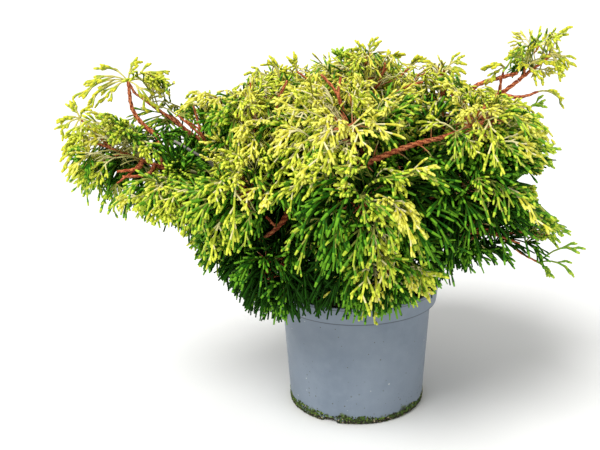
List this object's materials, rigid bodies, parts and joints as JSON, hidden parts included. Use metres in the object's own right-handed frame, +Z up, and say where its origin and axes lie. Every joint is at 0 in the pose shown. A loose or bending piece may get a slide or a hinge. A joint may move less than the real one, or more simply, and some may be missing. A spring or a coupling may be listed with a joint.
{
  "type": "dwarf hinoki cypress in a nursery pot",
  "caption": "Low spreading dwarf hinoki cypress with drooping fan-shaped sprays, standing in a round plastic nursery pot filled with compost.",
  "frame": {"origin": "centre of the pot's flat underside, where it stands", "axes": "+Z up the pot's axis, -Y towards the front, +X to the right of the front view, -X towards the longest boughs"},
  "size_m": [0.5886, 0.4629, 0.4383],
  "materials": {
    "plastic": "matte moulded grey-blue plastic with fine dust, algae at the foot and a soft sheen",
    "compost": "dark brown crumbly bark compost",
    "bark": "orange-brown bark, finely fissured and flaking",
    "foliage": "waxy scale-leaved sprays, deep green inside and yellow-green to gold at the tips"
  },
  "bodies": {
    "root": {"bough_front_arm": "bark", "bough_front_arm_outer": "bark", "bough_left_arm": "bark", "bough_left_high": "bark", "bough_left_low": "bark", "bough_right_high": "bark", "bough_right_low": "bark", "bough_shoulder_1": "bark", "bough_shoulder_2": "bark", "bough_shoulder_3": "bark", "bough_shoulder_4": "bark", "bough_shoulder_5": "bark", "bough_skirt_1": "bark", "bough_skirt_2": "bark", "bough_skirt_3": "bark", "bough_skirt_4": "bark", "bough_skirt_5": "bark", "bough_skirt_6": "bark", "bough_skirt_7": "bark", "bough_waist_1": "bark", "bough_waist_2": "bark", "bough_waist_3": "bark", "bough_waist_4": "bark", "bough_waist_5": "bark", "bough_waist_6": "bark", "bough_waist_7": "bark", "compost": "compost", "foliage_crest": "foliage", "foliage_front_arm": "foliage", "foliage_left_arm": "foliage", "foliage_left_high": "foliage", "foliage_left_low": "foliage", "foliage_right_high": "foliage", "foliage_right_low": "foliage", "foliage_shoulder_1": "foliage", "foliage_shoulder_2": "foliage", "foliage_shoulder_3": "foliage", "foliage_shoulder_4": "foliage", "foliage_shoulder_5": "foliage", "foliage_skirt_1": "foliage", "foliage_skirt_2": "foliage", "foliage_skirt_3": "foliage", "foliage_skirt_4": "foliage", "foliage_skirt_5": "foliage", "foliage_skirt_6": "foliage", "foliage_skirt_7": "foliage", "foliage_waist_1": "foliage", "foliage_waist_2": "foliage", "foliage_waist_3": "foliage", "foliage_waist_4": "foliage", "foliage_waist_5": "foliage", "foliage_waist_6": "foliage", "foliage_waist_7": "foliage", "pot": "plastic", "trunk": "bark"}
  },
  "joints": []
}
